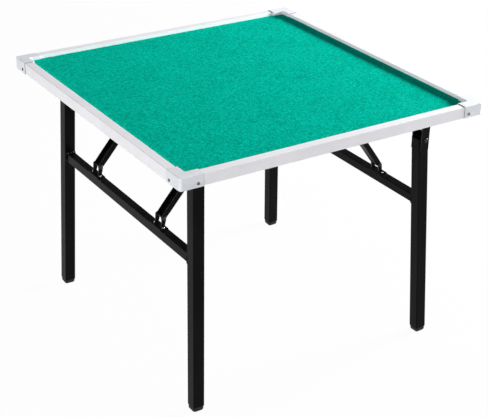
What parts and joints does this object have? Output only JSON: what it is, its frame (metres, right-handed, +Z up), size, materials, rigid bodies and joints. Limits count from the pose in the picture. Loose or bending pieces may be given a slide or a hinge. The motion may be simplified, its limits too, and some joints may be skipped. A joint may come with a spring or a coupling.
{
  "type": "folding game table",
  "caption": "Square folding game table with a green felt top in a raised white rim, and black steel leg frames that fold flat under it on jointed stays.",
  "frame": {"origin": "on the floor under the centre of the top", "axes": "+Z up, +X from the left leg frame to the right one, +Y from the front edge to the back"},
  "size_m": [0.966, 0.966, 0.7512],
  "materials": {
    "board_wood": "dark brown fibreboard",
    "green_felt": "short matt felt",
    "white_rim": "white satin coat",
    "white_cap": "satin",
    "dark_screw": "dark plated",
    "black_steel": "black gloss coat",
    "black_foot": "moulded, matt",
    "bright_steel": "bright plated",
    "plain_steel": "blackened"
  },
  "bodies": {
    "table_top": {"top_board": "board_wood", "felt_sheet": "green_felt", "rim_front": "white_rim", "rim_right": "white_rim", "rim_back": "white_rim", "rim_left": "white_rim", "corner_cap_front_left": "white_cap", "corner_cap_front_right": "white_cap", "corner_cap_back_right": "white_cap", "corner_cap_back_left": "white_cap", "cap_screws": "dark_screw", "leg_pivot_rivets": "plain_steel", "bracket_screws": "plain_steel", "anchor_screws": "plain_steel", "stay_top_rivets": "plain_steel", "leg_bracket_left_front": "black_steel", "leg_bracket_left_back": "black_steel", "leg_bracket_right_front": "black_steel", "leg_bracket_right_back": "black_steel", "stay_anchor_left_front": "black_steel", "stay_anchor_left_back": "black_steel", "stay_anchor_right_front": "black_steel", "stay_anchor_right_back": "black_steel"},
    "left_frame": {"left_crossbar": "black_steel", "left_lug_rivets": "plain_steel", "left_lug_fixings": "bright_steel", "left_leg_front": "black_steel", "left_leg_back": "black_steel", "left_foot_front": "black_foot", "left_foot_back": "black_foot", "left_lug_front": "black_steel", "left_lug_back": "black_steel"},
    "lower_stay_left_front": {"lower_link_left_front": "black_steel", "knee_pin_left_front": "plain_steel"},
    "upper_stay_left_front": {"upper_link_left_front": "black_steel", "knee_heads_left_front": "plain_steel"},
    "lower_stay_left_back": {"lower_link_left_back": "black_steel", "knee_pin_left_back": "plain_steel"},
    "upper_stay_left_back": {"upper_link_left_back": "black_steel", "knee_heads_left_back": "plain_steel"},
    "right_frame": {"right_crossbar": "black_steel", "right_lug_rivets": "plain_steel", "right_lug_fixings": "bright_steel", "right_leg_front": "black_steel", "right_leg_back": "black_steel", "right_foot_front": "black_foot", "right_foot_back": "black_foot", "right_lug_front": "black_steel", "right_lug_back": "black_steel"},
    "lower_stay_right_front": {"lower_link_right_front": "black_steel", "knee_pin_right_front": "plain_steel"},
    "upper_stay_right_front": {"upper_link_right_front": "black_steel", "knee_heads_right_front": "plain_steel"},
    "lower_stay_right_back": {"lower_link_right_back": "black_steel", "knee_pin_right_back": "plain_steel"},
    "upper_stay_right_back": {"upper_link_right_back": "black_steel", "knee_heads_right_back": "plain_steel"}
  },
  "joints": [
    {"name": "left_leg_fold", "type": "hinge", "parent": "table_top", "child": "left_frame", "pos_m": [-0.3742, 0, 0.676], "axis": [0, -1, 0], "range_deg": [0, 91.25]},
    {"name": "left_front_lower_link_turn", "type": "hinge", "parent": "left_frame", "child": "lower_stay_left_front", "pos_m": [-0.36923, -0.185, 0.49129], "axis": [0, -1, 0], "range_deg": [0, 32.14]},
    {"name": "left_front_upper_link_turn", "type": "hinge", "parent": "table_top", "child": "upper_stay_left_front", "pos_m": [-0.1887, -0.185, 0.705], "axis": [0, 1, 0], "range_deg": [0, 48.43]},
    {"name": "left_back_lower_link_turn", "type": "hinge", "parent": "left_frame", "child": "lower_stay_left_back", "pos_m": [-0.36923, 0.185, 0.49129], "axis": [0, -1, 0], "range_deg": [0, 32.14]},
    {"name": "left_back_upper_link_turn", "type": "hinge", "parent": "table_top", "child": "upper_stay_left_back", "pos_m": [-0.1887, 0.185, 0.705], "axis": [0, 1, 0], "range_deg": [0, 48.43]},
    {"name": "right_leg_fold", "type": "hinge", "parent": "table_top", "child": "right_frame", "pos_m": [0.3662, 0, 0.628], "axis": [0, 1, 0], "range_deg": [0, 93.13]},
    {"name": "right_front_lower_link_turn", "type": "hinge", "parent": "right_frame", "child": "lower_stay_right_front", "pos_m": [0.36547, -0.185, 0.47645], "axis": [0, 1, 0], "range_deg": [0, 18.02]},
    {"name": "right_front_upper_link_turn", "type": "hinge", "parent": "table_top", "child": "upper_stay_right_front", "pos_m": [0.2117, -0.185, 0.688], "axis": [0, -1, 0], "range_deg": [0, 46.34]},
    {"name": "right_back_lower_link_turn", "type": "hinge", "parent": "right_frame", "child": "lower_stay_right_back", "pos_m": [0.36547, 0.185, 0.47645], "axis": [0, 1, 0], "range_deg": [0, 18.02]},
    {"name": "right_back_upper_link_turn", "type": "hinge", "parent": "table_top", "child": "upper_stay_right_back", "pos_m": [0.2117, 0.185, 0.688], "axis": [0, -1, 0], "range_deg": [0, 46.34]}
  ],
  "couplings": [
    {"joint": "left_front_lower_link_turn", "follows": "left_leg_fold", "ratio": 0.35206},
    {"joint": "left_front_upper_link_turn", "follows": "left_leg_fold", "ratio": 0.53058},
    {"joint": "left_back_lower_link_turn", "follows": "left_leg_fold", "ratio": 0.35206},
    {"joint": "left_back_upper_link_turn", "follows": "left_leg_fold", "ratio": 0.53058},
    {"joint": "right_front_lower_link_turn", "follows": "right_leg_fold", "ratio": 0.19338},
    {"joint": "right_front_upper_link_turn", "follows": "right_leg_fold", "ratio": 0.49743},
    {"joint": "right_back_lower_link_turn", "follows": "right_leg_fold", "ratio": 0.19338},
    {"joint": "right_back_upper_link_turn", "follows": "right_leg_fold", "ratio": 0.49743}
  ]
}
